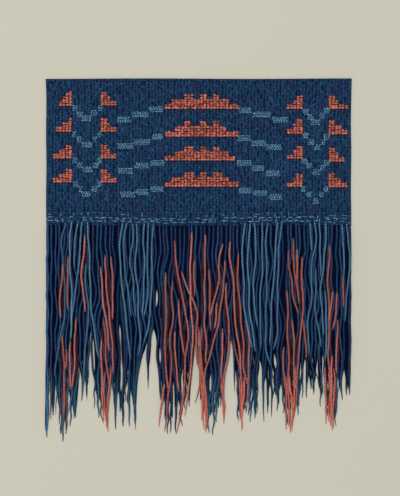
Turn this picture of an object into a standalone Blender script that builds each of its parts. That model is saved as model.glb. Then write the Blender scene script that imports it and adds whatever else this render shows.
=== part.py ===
"""A cut length of a fringed coverlet, lying flat and face up.

+X runs along the heading, +Y up the cloth away from the fringe, +Z up. The origin is the middle of the
footprint, on the surface. Tables are in millimetres and everything that is built is in metres.
"""

import math
import random

import bmesh
import bpy

MM = 0.001
WELD_DISTANCE = 0.001 * MM

# Cloth: a ribbed woven piece, flat underneath
CLOTH_WIDTH = 280.8 * MM
CLOTH_TOP = 166.8 * MM
CLOTH_FOOT = 44.3 * MM
CLOTH_THICKNESS = 2.5 * MM
RIB_COUNT = 95
RIB_HEIGHT = 0.45 * MM
CORNER_CUT = 1.6 * MM
TRIM_SPARE = 3.0 * MM
PIECE_GAP = 0.3 * MM

# The edges wander by part of a rib, as hand weaving does
EDGE_STEP = 6.0 * MM
TOP_BOW = 0.45 * MM
TOP_BOW_LENGTH = 190.0 * MM
SIDE_WANDER = 0.35 * MM
SIDE_WANDER_LENGTH = 61.0 * MM
TOP_CORNER_FLARE = 0.5 * MM
FLARE_LENGTH = 9.0 * MM

# Heading: the narrow band that holds the fringe
HEADING_FOOT = 31.5 * MM
HEADING_THICKNESS = 2.8 * MM

# Fringe strands: three-sided, flat underneath, in two layers
STRAND_WIDTH = 2.5 * MM
STRAND_HEIGHT = 1.15 * MM
STRAND_GAP = 0.65 * MM
STRAND_TAPER = 0.35
TIP_WIDTH = 0.12 * MM
ROOT_DEPTH = 1.5 * MM
STATION_STEP = 18.0 * MM
BOTTOM_LAYER = {"count": 72, "base": 0.0, "phase": 0.0, "seed": 3}
TOP_LAYER = {"count": 63, "base": 1.45 * MM, "phase": 2.1, "seed": 8}

# Two waves sway neighbouring strands together
SWAY = (
    # amplitude, length down the strand, length across the fringe
    (1.9 * MM, 74.0 * MM, 118.0 * MM),
    (0.9 * MM, 43.0 * MM, -67.0 * MM),
)
SWAY_FADE = 26.0 * MM
SIDE_CALM = 14.0 * MM

# How far the strands of a lock draw in at its point, and how late
LOCK_DRAW = 0.70
LOCK_DRAW_POWER = 2.2
LOCK_LEAN_POWER = 1.35
LENGTH_SPREAD = 9.0 * MM

# Locks from left to right: strands at the root, tip across (mm), reach below the heading (mm)
LOCKS = (
    (3, -138.4, 194.0),
    (3, -132.3, 189.5),
    (4, -124.8, 198.3),
    (3, -117.9, 187.5),
    (2, -113.0, 176.5),
    (3, -105.0, 161.0),
    (2, -94.9, 169.0),
    (3, -88.9, 182.0),
    (2, -83.7, 189.0),
    (2, -76.0, 174.0),
    (3, -70.5, 187.5),
    (3, -63.6, 184.0),
    (2, -57.3, 187.0),
    (4, -49.3, 160.0),
    (2, -35.5, 182.0),
    (4, -27.7, 194.0),
    (3, -20.8, 190.5),
    (3, -13.5, 178.5),
    (2, -5.6, 165.5),
    (3, 5.9, 190.5),
    (3, 13.5, 192.0),
    (3, 22.0, 182.0),
    (4, 38.5, 186.0),
    (3, 45.9, 178.5),
    (3, 52.8, 174.5),
    (2, 60.1, 179.5),
    (2, 65.7, 175.5),
    (2, 73.0, 170.0),
    (3, 80.4, 188.5),
    (3, 85.9, 187.5),
    (2, 91.4, 173.0),
    (4, 99.7, 157.5),
    (2, 112.2, 166.5),
    (3, 118.1, 182.0),
    (3, 124.1, 187.5),
    (3, 131.0, 161.0),
    (2, 137.6, 155.0),
)

WOOL_ROUGHNESS = 0.9
FACES_DOWN = -0.99
NAVY = (0.010, 0.030, 0.074)
DEEP_NAVY = (0.007, 0.019, 0.050)


def clear_scene():
    for obj in list(bpy.data.objects):
        bpy.data.objects.remove(obj, do_unlink=True)


def make_collection(name):
    collection = bpy.data.collections.new(name)
    bpy.context.scene.collection.children.link(collection)
    return collection


def wool(name, colour):
    material = bpy.data.materials.new(name)
    material.use_nodes = True
    shader = material.node_tree.nodes["Principled BSDF"]
    shader.inputs["Base Color"].default_value = (*colour, 1.0)
    shader.inputs["Roughness"].default_value = WOOL_ROUGHNESS
    shader.inputs["Metallic"].default_value = 0.0
    return material


def hide(obj):
    obj.hide_render = True
    obj.display_type = "WIRE"


def flat_outline(name, points, height, collection):
    """A closed outline as a filled 2D curve, standing from the surface up to the height."""
    curve = bpy.data.curves.new(name, "CURVE")
    curve.dimensions = "2D"
    curve.fill_mode = "BOTH"
    curve.extrude = height / 2
    spline = curve.splines.new("POLY")
    spline.points.add(len(points) - 1)
    for point, (x, y) in zip(spline.points, points):
        point.co = (x, y, 0.0, 1.0)
    spline.use_cyclic_u = True
    obj = bpy.data.objects.new(name, curve)
    obj.location.z = height / 2
    collection.objects.link(obj)
    return obj


def curve_to_mesh(obj, collection):
    """The same shape as one welded mesh object, in place of the curve."""
    bpy.context.view_layer.update()
    graph = bpy.context.evaluated_depsgraph_get()
    mesh = bpy.data.meshes.new_from_object(obj.evaluated_get(graph))
    welded = bmesh.new()
    welded.from_mesh(mesh)
    bmesh.ops.remove_doubles(welded, verts=welded.verts, dist=WELD_DISTANCE)
    bmesh.ops.recalc_face_normals(welded, faces=welded.faces)
    welded.to_mesh(mesh)
    welded.free()
    name = obj.name
    place = obj.matrix_world.copy()
    bpy.data.objects.remove(obj, do_unlink=True)
    made = bpy.data.objects.new(name, mesh)
    made.matrix_world = place
    collection.objects.link(made)
    return made


def side_x(side, y):
    """The left (-1) or right (+1) edge at this height, never past half the width."""
    wander = SIDE_WANDER * (1 + math.sin(math.tau * y / SIDE_WANDER_LENGTH + side)) / 2
    flare = TOP_CORNER_FLARE * (1 - math.exp(-(CLOTH_TOP - y) / FLARE_LENGTH))
    return side * (CLOTH_WIDTH / 2 - wander - flare)


def top_y(x):
    return CLOTH_TOP - TOP_BOW * (1 + math.sin(math.tau * x / TOP_BOW_LENGTH)) / 2


def cloth_outline():
    """Up the right side, back along the top and down the left side, with the two top corners cut."""
    rows = round((CLOTH_TOP - CLOTH_FOOT) / EDGE_STEP)
    rise = (CLOTH_TOP - CORNER_CUT - CLOTH_FOOT) / rows
    heights = [CLOTH_FOOT + rise * row for row in range(rows + 1)]
    right = [(side_x(1, y), y) for y in heights]
    left = [(side_x(-1, y), y) for y in reversed(heights)]
    columns = round(CLOTH_WIDTH / EDGE_STEP)
    reach = CLOTH_WIDTH / 2 - CORNER_CUT - SIDE_WANDER
    across = [reach - 2 * reach * column / columns for column in range(columns + 1)]
    top = [(x, top_y(x)) for x in across]
    return right + top + left


def build_cloth(pieces, cutters):
    """A slab with one ridge for each rib, trimmed to the outline."""
    length = CLOTH_TOP - CLOTH_FOOT + 2 * TRIM_SPARE
    half_rib = CLOTH_WIDTH / RIB_COUNT / 2
    columns = 2 * (RIB_COUNT + 2)
    slab = bmesh.new()
    bmesh.ops.create_grid(slab, x_segments=columns, y_segments=1, size=0.5)
    for vert in slab.verts:
        column = round(vert.co.x * columns)
        valley = RIB_HEIGHT if column % 2 else 0.0
        vert.co.x = column * half_rib
        vert.co.y *= length
        vert.co.z = CLOTH_THICKNESS - valley
    lower = bmesh.ops.extrude_face_region(slab, geom=slab.faces[:])
    for item in lower["geom"]:
        if isinstance(item, bmesh.types.BMVert):
            item.co.z = 0.0
    bmesh.ops.recalc_face_normals(slab, faces=slab.faces)
    underside = [face for face in slab.faces if face.normal.z < FACES_DOWN]
    bmesh.ops.dissolve_faces(slab, faces=underside)
    mesh = bpy.data.meshes.new("cloth")
    slab.to_mesh(mesh)
    slab.free()
    cloth = bpy.data.objects.new("cloth", mesh)
    cloth.location.y = (CLOTH_TOP + CLOTH_FOOT) / 2
    pieces.objects.link(cloth)
    mesh.materials.append(wool("navy_wool", NAVY))

    outline = flat_outline("cloth_trim", cloth_outline(), 3 * CLOTH_THICKNESS, cutters)
    outline.location.z = CLOTH_THICKNESS / 2
    outline = curve_to_mesh(outline, cutters)
    hide(outline)
    trim = cloth.modifiers.new("trim", "BOOLEAN")
    trim.operation = "INTERSECT"
    trim.object = outline
    return cloth


def heading_outline():
    """The band between the cloth's foot and the strands' roots."""
    top = CLOTH_FOOT - PIECE_GAP
    return [
        (side_x(-1, HEADING_FOOT), HEADING_FOOT),
        (side_x(1, HEADING_FOOT), HEADING_FOOT),
        (side_x(1, top), top),
        (side_x(-1, top), top),
    ]


def sway(x, down, phase):
    """How far a strand is carried sideways at this depth; neighbours move nearly together."""
    settle = 1 - math.exp(-((down / SWAY_FADE) ** 2))
    settle *= 1 - math.exp(-(((CLOTH_WIDTH / 2 - abs(x)) / SIDE_CALM) ** 2))
    total = 0.0
    for amplitude, wave, across in SWAY:
        total += amplitude * math.sin(math.tau * (down / wave + x / across) + phase)
    return settle * total


def lock_at(place):
    """The lock that owns this place across the root, from 0 to 1, with its middle there."""
    total = sum(share for share, _, _ in LOCKS)
    passed = 0
    for share, tip_mm, reach_mm in LOCKS:
        passed += share
        if place <= passed / total:
            break
    return (passed - share / 2) / total, tip_mm * MM, reach_mm * MM


def strand_plan(layer):
    """For each strand from left to right: root x, its lock's middle at the root, tip x, reach, own length."""
    dice = random.Random(layer["seed"])
    span = CLOTH_WIDTH - 2 * (SIDE_WANDER + TOP_CORNER_FLARE) - STRAND_WIDTH
    plan = []
    for index in range(layer["count"]):
        place = index / (layer["count"] - 1)
        middle, tip, reach = lock_at(place)
        starts_lock = not plan or plan[-1][2] != tip
        short = 0.0 if starts_lock else LENGTH_SPREAD * dice.uniform(0.2, 1.0)
        plan.append((span * (place - 0.5), span * (middle - 0.5), tip, reach, reach - short))
    return plan


def strand_x(strand, down, phase):
    """Where a strand's middle is, this far below the heading."""
    root, middle, tip, reach, _ = strand
    part = min(down / reach, 1.0)
    lean = part**LOCK_LEAN_POWER
    draw = 1 - LOCK_DRAW * part**LOCK_DRAW_POWER
    calm = 1 - part**3
    return middle + (tip - middle) * lean + (root - middle) * draw + calm * sway(root, down, phase)


def layer_stations(layer):
    """Every strand of a layer as rows of x, y and width, kept clear of the strands beside it."""
    plan = strand_plan(layer)
    phase = layer["phase"]
    strands = []
    for index, strand in enumerate(plan):
        own = strand[4]
        steps = round(own / STATION_STEP)
        beside = plan[max(index - 1, 0) : index] + plan[index + 1 : index + 2]
        rows = [(strand[0], HEADING_FOOT + ROOT_DEPTH, STRAND_WIDTH)]
        for step in range(steps):
            down = own * step / steps
            x = strand_x(strand, down, phase)
            room = min(abs(strand_x(other, down, phase) - x) for other in beside)
            slim = STRAND_WIDTH * (1 - STRAND_TAPER * step / steps)
            width = max(min(slim, room - STRAND_GAP), TIP_WIDTH)
            rows.append((x, HEADING_FOOT - down, width))
        rows.append((strand_x(strand, own, phase), HEADING_FOOT - own, TIP_WIDTH))
        strands.append(rows)
    return strands


def build_strands(cutters):
    """All strands as splines of one curve with a flat-bottomed, three-sided bevel."""
    shape = bpy.data.curves.new("strand_section", "CURVE")
    shape.dimensions = "2D"
    section = shape.splines.new("POLY")
    section.points.add(2)
    half = STRAND_WIDTH / 2
    for point, (x, z) in zip(section.points, ((-half, 0.0), (half, 0.0), (0.0, STRAND_HEIGHT))):
        point.co = (x, z, 0.0, 1.0)
    section.use_cyclic_u = True
    guide = bpy.data.objects.new("strand_section", shape)
    cutters.objects.link(guide)
    hide(guide)

    curve = bpy.data.curves.new("strands", "CURVE")
    curve.dimensions = "3D"
    curve.twist_mode = "Z_UP"
    curve.bevel_mode = "OBJECT"
    curve.bevel_object = guide
    curve.use_fill_caps = True
    for layer in (BOTTOM_LAYER, TOP_LAYER):
        for rows in layer_stations(layer):
            spline = curve.splines.new("POLY")
            spline.points.add(len(rows) - 1)
            for point, (x, y, width) in zip(spline.points, rows):
                point.co = (x, y, layer["base"], 1.0)
                point.radius = width / STRAND_WIDTH
    obj = bpy.data.objects.new("strands", curve)
    cutters.objects.link(obj)
    strands = curve_to_mesh(obj, cutters)
    hide(strands)
    return strands


def build_fringe(pieces, cutters):
    """The heading band with every strand's root fused into its lower edge."""
    band = flat_outline("fringe", heading_outline(), HEADING_THICKNESS, pieces)
    band = curve_to_mesh(band, pieces)
    band.data.materials.append(wool("deep_navy_wool", DEEP_NAVY))
    join = band.modifiers.new("roots", "BOOLEAN")
    join.operation = "UNION"
    join.object = build_strands(cutters)
    return band


clear_scene()
coverlet = make_collection("coverlet")
helpers = make_collection("cutters")
build_cloth(coverlet, helpers)
build_fringe(coverlet, helpers)
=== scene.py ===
import math
import random

import bmesh
import bpy
import numpy as np
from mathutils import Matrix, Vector


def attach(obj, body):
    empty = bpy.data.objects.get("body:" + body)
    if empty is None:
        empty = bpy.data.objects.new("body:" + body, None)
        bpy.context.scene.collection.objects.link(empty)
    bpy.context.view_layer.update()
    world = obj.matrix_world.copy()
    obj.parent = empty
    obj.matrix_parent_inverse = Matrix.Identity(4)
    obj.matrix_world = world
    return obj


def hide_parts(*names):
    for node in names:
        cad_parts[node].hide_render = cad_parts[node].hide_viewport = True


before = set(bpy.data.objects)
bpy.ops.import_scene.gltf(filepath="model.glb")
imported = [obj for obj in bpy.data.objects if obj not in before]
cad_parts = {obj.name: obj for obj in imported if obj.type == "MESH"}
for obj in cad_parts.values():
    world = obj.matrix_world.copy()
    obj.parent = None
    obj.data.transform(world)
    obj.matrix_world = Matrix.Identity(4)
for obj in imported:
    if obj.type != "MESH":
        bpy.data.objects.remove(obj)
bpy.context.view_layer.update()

# Camera, floor and light. The cloth lies face up on a plain pale floor and is looked at from straight above,
# a little to the right of and above its middle, under one broad soft lamp and an even pale surround.
scene = bpy.context.scene
scene.view_settings.view_transform = "Standard"

MM = 0.001
LENS = 100.0
SENSOR = 36.0
SEEN_LENGTH = 454.5 * MM
AIM = Vector((1.3, 11.3, 2.5)) * MM
camera_data = bpy.data.cameras.new("camera")
camera_data.lens = LENS
camera_data.sensor_width = SENSOR
camera = bpy.data.objects.new("camera", camera_data)
camera.location = AIM + Vector((0, 0, SEEN_LENGTH * LENS / SENSOR))
scene.collection.objects.link(camera)
scene.camera = camera

FLOOR_SIDE = 6.0
FLOOR_COLOUR = (204, 200, 185)
MATT = 0.95


def dye(red, green, blue):
    """A colour given in steps of 0 to 255, as a material takes it."""
    parts = [level / 255 for level in (red, green, blue)]
    return tuple(part / 12.92 if part <= 0.04045 else ((part + 0.055) / 1.055) ** 2.4 for part in parts)


floor_mesh = bpy.data.meshes.new("floor")
floor_form = bmesh.new()
bmesh.ops.create_grid(floor_form, x_segments=1, y_segments=1, size=FLOOR_SIDE / 2)
floor_form.to_mesh(floor_mesh)
floor_form.free()
floor = bpy.data.objects.new("floor", floor_mesh)
scene.collection.objects.link(floor)
floor_finish = bpy.data.materials.new("floor_paper")
floor_finish.use_nodes = True
floor_shader = floor_finish.node_tree.nodes["Principled BSDF"]
floor_shader.inputs["Roughness"].default_value = MATT
floor_shader.inputs["Base Color"].default_value = (*dye(*FLOOR_COLOUR), 1.0)
floor_shader.inputs["Specular IOR Level"].default_value = 0.0
floor_mesh.materials.append(floor_finish)

LAMP_PLACE = Vector((-1.0, 0.5, 4.2))
LAMP_SIDE = 1.3
LAMP_POWER = 112.0
LAMP_COLOUR = (1.0, 0.985, 0.96)
lamp_data = bpy.data.lights.new("soft_lamp", "AREA")
lamp_data.size = LAMP_SIDE
lamp_data.energy = LAMP_POWER
lamp_data.color = LAMP_COLOUR
lamp = bpy.data.objects.new("soft_lamp", lamp_data)
lamp.location = LAMP_PLACE
lamp.rotation_mode = "QUATERNION"
lamp.rotation_quaternion = (-LAMP_PLACE).to_track_quat("-Z", "Y")
scene.collection.objects.link(lamp)

SURROUND_COLOUR = (0.97, 0.985, 1.0, 1.0)
SURROUND_STRENGTH = 0.45
surround = bpy.data.worlds.new("surround")
surround.use_nodes = True
surround_light = surround.node_tree.nodes["Background"]
surround_light.inputs["Color"].default_value = SURROUND_COLOUR
surround_light.inputs["Strength"].default_value = SURROUND_STRENGTH
scene.world = surround

# Woven ground: the thin close cloth under the stitches, navy wool painted darker than the stitches as the
# # shade in the gaps between them, with a rib every 3 mm along its length. It is one flat piece whose side
# # edges wander by part of a rib, as they do on a hand loom.
CLOTH_WIDTH = 280.8 * MM
CLOTH_TOP = 166.8 * MM
CLOTH_FOOT = 44.3 * MM
GROUND_HEIGHT = 1.9 * MM
RIB_COUNT = 95
RIB_PITCH = CLOTH_WIDTH / RIB_COUNT
RIB_STEPS = 4
RIB_HEIGHT = 0.35 * MM
EDGE_STEP = 6.0 * MM
TOP_BOW = 0.45 * MM
TOP_BOW_LENGTH = 190.0 * MM
SIDE_WANDER = 0.35 * MM
SIDE_WANDER_LENGTH = 61.0 * MM
TOP_CORNER_FLARE = 0.5 * MM
FLARE_LENGTH = 9.0 * MM

# Surface of the wool: patterns are told by their scale and detail, and lightness as a share of the tint
# Painted shade of navy for the hollows and gaps of the weave and of its stitches
WEAVE_PAINTED_SHADE = dye(11, 30, 56)
SHEEN = 0.01
PATTERN_SPAN = (0.36, 0.64)
DRIFT_PATTERN = (38.0, 2.0)
DRIFT = 0.4
SHADE_LIGHTNESS = (0.55, 1.45)
FIBRE_PATTERN = (1500.0, 3.0)
FIBRE_SPAN = (0.3, 0.7)
FIBRE_LIGHTNESS = (0.84, 1.16)
FIBRE_STRENGTH = 0.5
FIBRE_HEIGHT = 0.12 * MM
WEAVE_UNEVEN = ((680.0, 1.0), (0.66, 1.34))
YARN_UNEVEN = ((420.0, 1.0), (0.84, 1.16))

# Where the fringe starts and ends to fade, and how much of it a yarn with a hue over 1 takes on
FADE_FROM_TO = (-98.0 * MM, -152.0 * MM)
HUE_OVER_ONE = (1.0, 1.01)
KEPT_DARK = 0.2


def half_width(side, y):
    """How far the left (-1) or right (+1) edge lies from the middle at this height."""
    wander = SIDE_WANDER * (1 + math.sin(math.tau * y / SIDE_WANDER_LENGTH + side)) / 2
    flare = TOP_CORNER_FLARE * (1 - math.exp(-(CLOTH_TOP - y) / FLARE_LENGTH))
    return CLOTH_WIDTH / 2 - wander - flare


def spread(x, y):
    """A place across the even weave, moved with the cloth's wandering side edges."""
    return x * half_width(-1 if x < 0 else 1, y) / (CLOTH_WIDTH / 2)


def top_y(x):
    return CLOTH_TOP - TOP_BOW * (1 + math.sin(math.tau * x / TOP_BOW_LENGTH)) / 2


def wool(name, painted_shade, tint, other_tint, painted_shade_range, tips=None):
    """Matt spun wool: painted shade low down on it, two shades of dye that drift, and a fine fibrous surface.

    It reads three values of the mesh: crown, from the hollows (0) to the top of a stitch or yarn (1), shade,
    which makes one stitch or yarn lighter than the next, and hue, which of the two dyes it leans to; one
    over 1 hardly fades. Painted shade is the dark colour painted where the crown is low, in the hollows, gaps
    and sides where shade falls; its range is the crown's range from that painted shade to full tint. Tips is
    the painted shade and the tint that the fringe's feet fade to.
    """
    material = bpy.data.materials.new(name)
    material.use_nodes = True
    tree = material.node_tree
    shader = tree.nodes["Principled BSDF"]
    shader.inputs["Roughness"].default_value = MATT
    shader.inputs["Specular IOR Level"].default_value = 0.0
    shader.inputs["Sheen Weight"].default_value = SHEEN

    def node(kind, **settings):
        made = tree.nodes.new(kind)
        for key, value in settings.items():
            setattr(made, key, value)
        return made

    def mix(factor, first, second, blend="MIX"):
        # Sockets 0, 6 and 7 and result 2 are the ones that a mix of colours uses
        made = node("ShaderNodeMix", data_type="RGBA", blend_type=blend)
        for socket, value in ((made.inputs[0], factor), (made.inputs[6], first), (made.inputs[7], second)):
            if isinstance(value, bpy.types.NodeSocket):
                tree.links.new(value, socket)
            else:
                socket.default_value = value if isinstance(value, float) else (*value, 1.0)
        return made.outputs[2]

    def ranged(value, low, high, to_low, to_high):
        made = node("ShaderNodeMapRange")
        tree.links.new(value, made.inputs["Value"])
        for key, number in (("From Min", low), ("From Max", high), ("To Min", to_low), ("To Max", to_high)):
            made.inputs[key].default_value = number
        return made.outputs["Result"]

    place = node("ShaderNodeTexCoord").outputs["Object"]

    def noise(scale, detail):
        made = node("ShaderNodeTexNoise")
        tree.links.new(place, made.inputs["Vector"])
        made.inputs["Scale"].default_value = scale
        made.inputs["Detail"].default_value = detail
        return made.outputs["Fac"]

    crown = node("ShaderNodeAttribute", attribute_name="crown").outputs["Fac"]
    shade = node("ShaderNodeAttribute", attribute_name="shade").outputs["Fac"]
    hue = node("ShaderNodeAttribute", attribute_name="hue").outputs["Fac"]
    own_hue = node("ShaderNodeMath", operation="FRACT")
    tree.links.new(hue, own_hue.inputs[0])
    lean = node("ShaderNodeMath", operation="ADD")
    tree.links.new(ranged(noise(*DRIFT_PATTERN), *PATTERN_SPAN, -DRIFT, DRIFT), lean.inputs[0])
    tree.links.new(own_hue.outputs[0], lean.inputs[1])
    body = mix(ranged(lean.outputs[0], 0.0, 1.0, 0.0, 1.0), tint, other_tint)
    painted_shade_colour = painted_shade
    if tips is not None:
        along = node("ShaderNodeSeparateXYZ")
        tree.links.new(place, along.inputs[0])
        fade = node("ShaderNodeMath", operation="MULTIPLY")
        tree.links.new(ranged(along.outputs["Y"], *FADE_FROM_TO, 0.0, 1.0), fade.inputs[0])
        tree.links.new(ranged(hue, *HUE_OVER_ONE, 1.0, KEPT_DARK), fade.inputs[1])
        towards_feet = fade.outputs[0]
        body = mix(towards_feet, body, tips[1])
        painted_shade_colour = mix(towards_feet, painted_shade, tips[0])
    lightness = ranged(shade, 0.0, 1.0, *SHADE_LIGHTNESS)
    grey = node("ShaderNodeCombineColor")
    for socket in grey.inputs:
        tree.links.new(lightness, socket)
    body = mix(1.0, body, grey.outputs[0], "MULTIPLY")
    fibre = noise(*FIBRE_PATTERN)
    uneven_pattern, uneven_lightness = WEAVE_UNEVEN if tips is None else YARN_UNEVEN
    fleck = node("ShaderNodeMath", operation="MULTIPLY")
    tree.links.new(ranged(fibre, *FIBRE_SPAN, *FIBRE_LIGHTNESS), fleck.inputs[0])
    tree.links.new(ranged(noise(*uneven_pattern), *PATTERN_SPAN, *uneven_lightness), fleck.inputs[1])
    speckle = node("ShaderNodeCombineColor")
    for socket in speckle.inputs:
        tree.links.new(fleck.outputs[0], socket)
    body = mix(1.0, body, speckle.outputs[0], "MULTIPLY")
    # Painted shade: where the crown is low the colour turns to the painted shade colour
    colour = mix(ranged(crown, *painted_shade_range, 0.0, 1.0), painted_shade_colour, body)
    tree.links.new(colour, shader.inputs["Base Color"])
    bump = node("ShaderNodeBump")
    bump.inputs["Strength"].default_value = FIBRE_STRENGTH
    bump.inputs["Distance"].default_value = FIBRE_HEIGHT
    tree.links.new(fibre, bump.inputs["Height"])
    tree.links.new(bump.outputs["Normal"], shader.inputs["Normal"])
    return material


def finished(name, mesh, material):
    """The mesh as a smooth piece with its material, riding with the part."""
    mesh.shade_smooth()
    mesh.materials.append(material)
    piece = bpy.data.objects.new(name, mesh)
    scene.collection.objects.link(piece)
    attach(piece, "root")
    return piece


def ribbed_sheet(name, foot, top, material):
    """A closed thin sheet between two heights of the cloth, with a soft ridge for each rib."""
    columns = RIB_STEPS * RIB_COUNT
    rows = max(2, round((top - foot) / EDGE_STEP))
    form = bmesh.new()
    bmesh.ops.create_grid(form, x_segments=columns, y_segments=rows, size=0.5)
    for vert in form.verts:
        x = vert.co.x * CLOTH_WIDTH
        y = foot + (vert.co.y + 0.5) * (top - foot)
        if top == CLOTH_TOP and y > top - EDGE_STEP / 2:
            y = top_y(x)
        valley = 0.5 + 0.5 * math.cos(math.tau * (x / RIB_PITCH + 0.5))
        vert.co = (spread(x, y), y, GROUND_HEIGHT - RIB_HEIGHT * valley)
    lower = bmesh.ops.extrude_face_region(form, geom=form.faces[:])
    for item in lower["geom"]:
        if isinstance(item, bmesh.types.BMVert):
            item.co.z = 0.0
    bmesh.ops.recalc_face_normals(form, faces=form.faces)
    mesh = bpy.data.meshes.new(name)
    form.to_mesh(mesh)
    form.free()
    return finished(name, mesh, material)


# The ground is coloured all over in the weave's painted shade, darker than the stitches, for the gaps between
# them
ground_painted_shade_wool = wool("ground_painted_shade_wool", WEAVE_PAINTED_SHADE, dye(12, 35, 62), dye(16, 30, 60), (0.0, 1.0))
ground = ribbed_sheet("woven_ground", CLOTH_FOOT, CLOTH_TOP, ground_painted_shade_wool)
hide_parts("cloth")

# Stitches: plump wool stitches packed end to end along each of the 95 ribs, none quite as long as the next.
# Coral ones make four rows of stepped figures, a long one in the middle and a pair at each side.
ROW_PITCH = 2.402 * MM
WEAVE_FOOT = 43.4 * MM
MIDDLE_RIB = RIB_COUNT // 2
STITCH_SIDES = 8
STITCH_RINGS = 3
STITCH_FULLNESS = 0.8
STITCH_SINK = 0.22 * MM
FIGURE_GAP = 0.45 * MM
FOOT_OVERLAP = 0.8 * MM
TOP_GAP = 0.1 * MM

# Navy stitches: length and height, then width, shift and lean as shares of the rib, overlap and shade
NAVY_LENGTHS = (1.9 * MM, 3.5 * MM)
NAVY_HEIGHTS = (0.55 * MM, 0.75 * MM)
NAVY_WIDTHS = (0.9, 1.28)
NAVY_SHIFT = 0.24
NAVY_LEAN = 0.14
NAVY_OVERLAPS = (0.56, 0.86)
NAVY_SHADE = (0.5, 0.14)
NAVY_SQUARENESS = 1.0
# Crown range over which the painted shade in the navy stitches' hollows gives way to the tint
NAVY_PAINTED_SHADE_RANGE = (0.05, 0.5)

# Coral stitches, told in the same way, with the shade of the lowest one, lighter as a painted highlight, and
# of the rest
CORAL_HEIGHTS = (0.85 * MM, 1.15 * MM)
CORAL_WIDTHS = (0.98, 1.14)
CORAL_SHIFT = 0.10
CORAL_RISE = 0.2
CORAL_LEAN = 0.16
CORAL_OVERLAPS = (0.98, 1.32)
LOWEST_HIGHLIGHT_SHADE = 0.66
CORAL_SHADE = 0.45
SHADE_SPREAD = 0.24
CORAL_SQUARENESS = 0.62
# Crown range over which the painted shade in the coral stitches' gaps gives way to the tint
CORAL_PAINTED_SHADE_RANGE = (0.3, 0.88)

# Each figure: its foot in rows above the heading, its first rib, the length of its stitches in mm, and how
# many stitches stand in each rib's column
FIGURES = (
    (39.7, -10, 2.24, "22444466644664466444222"),
    (29.1, -10, 2.40, "22244466444664466442222"),
    (20.0, -10, 2.14, "2224446664466446644422"),
    (10.0, -10, 2.24, "22444466644664466644222"),
    (40.8, -43, 2.30, "2456"),
    (31.0, -44, 2.12, "22446"),
    (20.8, -45, 2.02, "224466"),
    (11.6, -45, 2.08, "224466"),
    (41.0, -30, 2.04, "66422"),
    (31.0, -30, 2.08, "66422"),
    (20.8, -30, 2.08, "66422"),
    (11.6, -30, 2.00, "66422"),
    (39.7, 28, 2.06, "22466"),
    (30.2, 28, 2.28, "22466"),
    (20.7, 28, 1.92, "22466"),
    (10.0, 28, 1.96, "22466"),
    (39.7, 41, 2.00, "664222"),
    (30.0, 41, 2.16, "664422"),
    (19.5, 41, 2.14, "66422"),
    (9.8, 41, 2.12, "664422"),
)


def plump_stitch(squareness):
    """One stitch a unit wide and high each way: its points from the rim up, and its faces."""
    points = []
    for ring in range(STITCH_RINGS):
        rise = math.pi / 2 * ring / STITCH_RINGS
        for side in range(STITCH_SIDES):
            turn = math.tau * (side + 0.5) / STITCH_SIDES
            x, y = math.cos(turn), math.sin(turn)
            flat = math.cos(rise) ** STITCH_FULLNESS
            x = math.copysign(abs(x) ** squareness, x) * flat
            y = math.copysign(abs(y) ** squareness, y) * flat
            points.append((x, y, math.sin(rise)))
    points.append((0.0, 0.0, 1.0))
    faces = [tuple(reversed(range(STITCH_SIDES)))]
    for ring in range(STITCH_RINGS):
        for side in range(STITCH_SIDES):
            here = ring * STITCH_SIDES + side
            beside = ring * STITCH_SIDES + (side + 1) % STITCH_SIDES
            if ring < STITCH_RINGS - 1:
                faces.append((here, beside, beside + STITCH_SIDES, here + STITCH_SIDES))
            else:
                faces.append((here, beside, len(points) - 1))
    return np.array(points), faces


def set_values(mesh, name, values):
    layer = mesh.attributes.new(name, "FLOAT", "POINT")
    layer.data.foreach_set("value", np.asarray(values, np.float32))


def lay_stitches(name, stitches, squareness, material):
    """Many stitches as one mesh; each is x, y, half width, half length, height, lean and shade."""
    shape, shape_faces = plump_stitch(squareness)
    table = np.array(stitches)
    points = np.empty((len(table), len(shape), 3))
    points[:, :, 0] = table[:, 0:1] + shape[None, :, 0] * table[:, 2:3]
    points[:, :, 1] = table[:, 1:2] + shape[None, :, 1] * table[:, 3:4]
    points[:, :, 0] += shape[None, :, 1] * table[:, 5:6]
    points[:, :, 2] = GROUND_HEIGHT - STITCH_SINK + shape[None, :, 2] * table[:, 4:5]
    count = len(shape)
    faces = [tuple(i + n * count for i in face) for n in range(len(table)) for face in shape_faces]
    mesh = bpy.data.meshes.new(name)
    mesh.from_pydata(points.reshape(-1, 3).tolist(), [], faces)
    # Crown: the height within each stitch, low at its rim, where the wool's painted shade darkens it
    set_values(mesh, "crown", np.tile(shape[:, 2], len(table)))
    set_values(mesh, "shade", np.repeat(table[:, 6], count))
    set_values(mesh, "hue", np.repeat(np.random.default_rng(len(table)).random(len(table)), count))
    return finished(name, mesh, material)


def shade_near(dice, middle, width):
    return min(max(dice.gauss(middle, width), 0.0), 1.0)


def navy_run(dice, rib, foot, head):
    """Navy stitches that overlap along one rib between two heights."""
    lengths = []
    while sum(lengths) < head - foot:
        lengths.append(dice.uniform(*NAVY_LENGTHS))
    fit = (head - foot) / sum(lengths)
    stitches = []
    y = foot
    for step, length in enumerate(lengths):
        length *= fit
        half_wide = RIB_PITCH / 2 * dice.uniform(*NAVY_WIDTHS)
        x = spread((rib + dice.uniform(-NAVY_SHIFT, NAVY_SHIFT)) * RIB_PITCH, y)
        edge = half_width(-1 if x < 0 else 1, y) - half_wide
        x = min(max(x, -edge), edge)
        lean = dice.uniform(-NAVY_LEAN, NAVY_LEAN) * RIB_PITCH
        high = dice.uniform(*NAVY_HEIGHTS)
        at_end = step in (0, len(lengths) - 1)
        half_long = length / 2 if at_end else dice.uniform(*NAVY_OVERLAPS) * length
        shade = shade_near(dice, *NAVY_SHADE)
        stitches.append((x, y + length / 2, half_wide, half_long, high, lean, shade))
        y += length
    return stitches


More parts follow.
